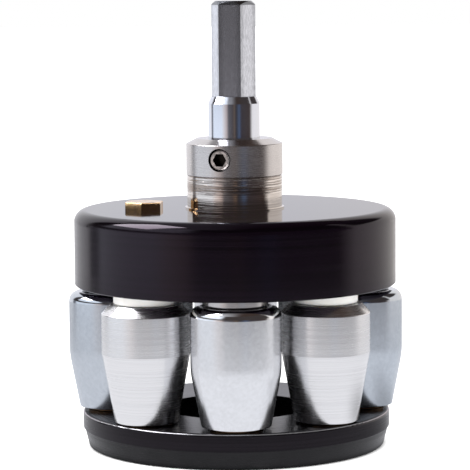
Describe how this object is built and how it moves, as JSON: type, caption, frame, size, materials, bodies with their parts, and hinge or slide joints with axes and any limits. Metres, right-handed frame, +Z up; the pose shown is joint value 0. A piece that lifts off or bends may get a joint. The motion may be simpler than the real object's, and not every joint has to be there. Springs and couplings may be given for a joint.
{
  "type": "roller capping head",
  "caption": "Round capping head: hex drive shank and set collar over a black drum that carries tapered idle rollers on pins, with a black neck guide ring below.",
  "frame": {"origin": "on the shank's axis at the underside of the guide ring", "axes": "+Z up along the drive shank, -Y towards the roller that faces the front, +X to the right seen from the front"},
  "size_m": [0.104, 0.104, 0.1377],
  "materials": {
    "black_anodised": "black anodised, fine turning lines",
    "black_plastic": "machined black acetal",
    "polished_steel": "mirror polished, fine turning lines",
    "turned_steel": "bright drawn and turned",
    "satin_steel": "satin, fine circumferential grain",
    "dark_screw_steel": "dark oiled",
    "zinc_plated_steel": "bright zinc plated, smooth satin",
    "bare_aluminium": "turned, visible circumferential lines",
    "white_nylon": "smooth white nylon",
    "bronze": "sintered bronze",
    "brass": "bright machined brass"
  },
  "bodies": {
    "head": {"drum": "black_anodised", "hub_sleeve": "polished_steel", "drive_shank": "turned_steel", "drive_key": "turned_steel", "set_collar": "satin_steel", "set_screw": "dark_screw_steel", "clamp_washer": "turned_steel", "clamp_screw": "dark_screw_steel", "brass_plug": "brass", "guide_ring": "black_anodised", "wear_ring": "black_plastic", "ring_screws": "dark_screw_steel", "roller_pin_1": "turned_steel", "steel_spacer_1": "polished_steel", "roller_pin_2": "turned_steel", "nylon_washer_2": "white_nylon", "roller_pin_3": "turned_steel", "steel_spacer_3": "polished_steel", "roller_pin_4": "turned_steel", "nylon_washer_4": "white_nylon", "roller_pin_5": "turned_steel", "steel_spacer_5": "polished_steel", "roller_pin_6": "turned_steel", "nylon_washer_6": "white_nylon", "roller_pin_7": "turned_steel", "steel_spacer_7": "polished_steel", "roller_pin_8": "turned_steel", "nylon_washer_8": "white_nylon"},
    "roller_1_turning": {"roller_1": "zinc_plated_steel", "roller_bushes_1": "bronze"},
    "roller_2_turning": {"roller_2": "bare_aluminium", "roller_bushes_2": "bronze"},
    "roller_3_turning": {"roller_3": "zinc_plated_steel", "roller_bushes_3": "bronze"},
    "roller_4_turning": {"roller_4": "bare_aluminium", "roller_bushes_4": "bronze"},
    "roller_5_turning": {"roller_5": "zinc_plated_steel", "roller_bushes_5": "bronze"},
    "roller_6_turning": {"roller_6": "bare_aluminium", "roller_bushes_6": "bronze"},
    "roller_7_turning": {"roller_7": "zinc_plated_steel", "roller_bushes_7": "bronze"},
    "roller_8_turning": {"roller_8": "bare_aluminium", "roller_bushes_8": "bronze"}
  },
  "joints": [
    {"name": "roller_1_spin", "type": "hinge", "parent": "head", "child": "roller_1_turning", "pos_m": [0, -0.0384, 0.03], "axis": [0, 0, 1], "continuous": true},
    {"name": "roller_2_spin", "type": "hinge", "parent": "head", "child": "roller_2_turning", "pos_m": [0.02715, -0.02715, 0.03], "axis": [0, 0, 1], "continuous": true},
    {"name": "roller_3_spin", "type": "hinge", "parent": "head", "child": "roller_3_turning", "pos_m": [0.0384, 0, 0.03], "axis": [0, 0, 1], "continuous": true},
    {"name": "roller_4_spin", "type": "hinge", "parent": "head", "child": "roller_4_turning", "pos_m": [0.02715, 0.02715, 0.03], "axis": [0, 0, 1], "continuous": true},
    {"name": "roller_5_spin", "type": "hinge", "parent": "head", "child": "roller_5_turning", "pos_m": [0, 0.0384, 0.03], "axis": [0, 0, 1], "continuous": true},
    {"name": "roller_6_spin", "type": "hinge", "parent": "head", "child": "roller_6_turning", "pos_m": [-0.02715, 0.02715, 0.03], "axis": [0, 0, 1], "continuous": true},
    {"name": "roller_7_spin", "type": "hinge", "parent": "head", "child": "roller_7_turning", "pos_m": [-0.0384, 0, 0.03], "axis": [0, 0, 1], "continuous": true},
    {"name": "roller_8_spin", "type": "hinge", "parent": "head", "child": "roller_8_turning", "pos_m": [-0.02715, -0.02715, 0.03], "axis": [0, 0, 1], "continuous": true}
  ]
}
